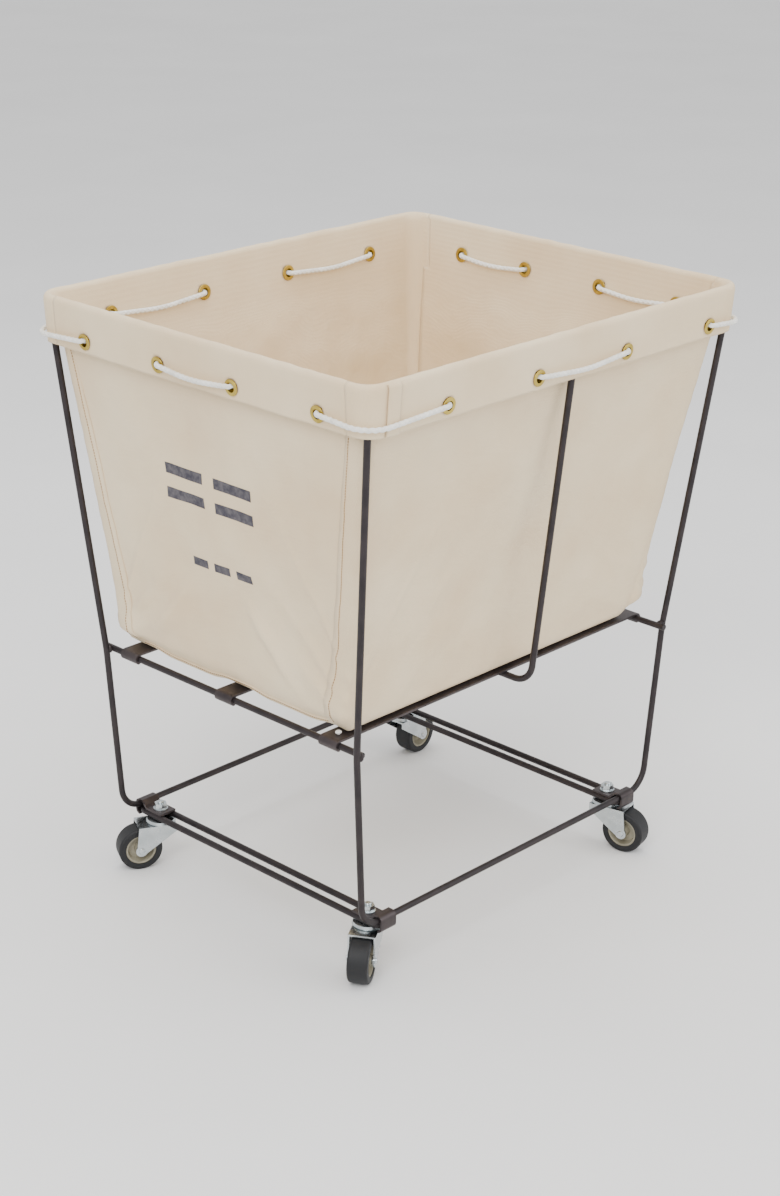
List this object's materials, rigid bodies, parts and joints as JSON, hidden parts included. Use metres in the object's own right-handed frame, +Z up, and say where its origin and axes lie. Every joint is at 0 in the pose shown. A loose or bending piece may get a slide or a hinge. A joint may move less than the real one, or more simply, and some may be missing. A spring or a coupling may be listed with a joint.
{
  "type": "laundry cart",
  "caption": "Tapered canvas basket laced to a rim wire, on a bent steel wire frame with corner swivel casters.",
  "frame": {"origin": "on the floor, below the middle of the rim", "axes": "+X along the basket's long side, +Y across it, +Z up"},
  "size_m": [0.7467, 0.6288, 0.846],
  "materials": {
    "frame_steel": "dark brown-black baked coating on steel wire, satin",
    "strap_steel": "dark grey-brown mill finish flat bar, satin",
    "zinc": "bright zinc plate, slightly bluish",
    "tyre": "black rubber, matt",
    "wheel_core": "beige-grey moulded core",
    "brass": "bright stamped brass",
    "canvas": "natural cotton duck, undyed",
    "rope": "white braided cord"
  },
  "bodies": {
    "cart": {"rim_wire": "frame_steel", "leg_frame_near": "frame_steel", "leg_frame_far": "frame_steel", "base_loop_left": "frame_steel", "base_loop_right": "frame_steel", "cross_rod_left": "frame_steel", "cross_rod_right": "frame_steel", "belly_wire": "frame_steel", "strap_near": "strap_steel", "strap_middle": "strap_steel", "strap_far": "strap_steel", "strap_tie": "rope", "weld_beads": "frame_steel", "stem_nuts": "zinc", "stem_washers": "zinc", "canvas_floor": "canvas", "canvas_near": "canvas", "canvas_far": "canvas", "canvas_left": "canvas", "canvas_right": "canvas", "hem_near": "canvas", "hem_far": "canvas", "hem_left": "canvas", "hem_right": "canvas", "eyelets": "brass", "lacing_rope": "rope", "rope_knot": "rope", "clip_near": "strap_steel", "caster_near_stem": "zinc", "caster_near_race": "zinc", "clip_left": "strap_steel", "caster_left_stem": "zinc", "caster_left_race": "zinc", "clip_right": "strap_steel", "caster_right_stem": "zinc", "caster_right_race": "zinc", "clip_far": "strap_steel", "caster_far_stem": "zinc", "caster_far_race": "zinc"},
    "caster_near_swivel": {"caster_near_fork": "zinc", "caster_near_axle": "zinc"},
    "caster_near_wheel": {"caster_near_core": "wheel_core", "caster_near_tyre": "tyre"},
    "caster_left_swivel": {"caster_left_fork": "zinc", "caster_left_axle": "zinc"},
    "caster_left_wheel": {"caster_left_core": "wheel_core", "caster_left_tyre": "tyre"},
    "caster_right_swivel": {"caster_right_fork": "zinc", "caster_right_axle": "zinc"},
    "caster_right_wheel": {"caster_right_core": "wheel_core", "caster_right_tyre": "tyre"},
    "caster_far_swivel": {"caster_far_fork": "zinc", "caster_far_axle": "zinc"},
    "caster_far_wheel": {"caster_far_core": "wheel_core", "caster_far_tyre": "tyre"}
  },
  "joints": [
    {"name": "caster_near_turn", "type": "hinge", "parent": "cart", "child": "caster_near_swivel", "pos_m": [-0.252, -0.207, 0.072], "axis": [0, 0, 1], "continuous": true},
    {"name": "caster_near_roll", "type": "hinge", "parent": "caster_near_swivel", "child": "caster_near_wheel", "pos_m": [-0.28029, -0.224, 0.03175], "axis": [0.515, -0.8572, 0], "continuous": true},
    {"name": "caster_left_turn", "type": "hinge", "parent": "cart", "child": "caster_left_swivel", "pos_m": [-0.252, 0.207, 0.072], "axis": [0, 0, 1], "continuous": true},
    {"name": "caster_left_roll", "type": "hinge", "parent": "caster_left_swivel", "child": "caster_left_wheel", "pos_m": [-0.28114, 0.22249, 0.03175], "axis": [-0.4695, -0.8829, 0], "continuous": true},
    {"name": "caster_right_turn", "type": "hinge", "parent": "cart", "child": "caster_right_swivel", "pos_m": [0.252, -0.207, 0.072], "axis": [0, 0, 1], "continuous": true},
    {"name": "caster_right_roll", "type": "hinge", "parent": "caster_right_swivel", "child": "caster_right_wheel", "pos_m": [0.25942, -0.23915, 0.03175], "axis": [0.9744, 0.225, 0], "continuous": true},
    {"name": "caster_far_turn", "type": "hinge", "parent": "cart", "child": "caster_far_swivel", "pos_m": [0.252, 0.207, 0.072], "axis": [0, 0, 1], "continuous": true},
    {"name": "caster_far_roll", "type": "hinge", "parent": "caster_far_swivel", "child": "caster_far_wheel", "pos_m": [0.28496, 0.20873, 0.03175], "axis": [-0.0523, 0.9986, 0], "continuous": true}
  ]
}
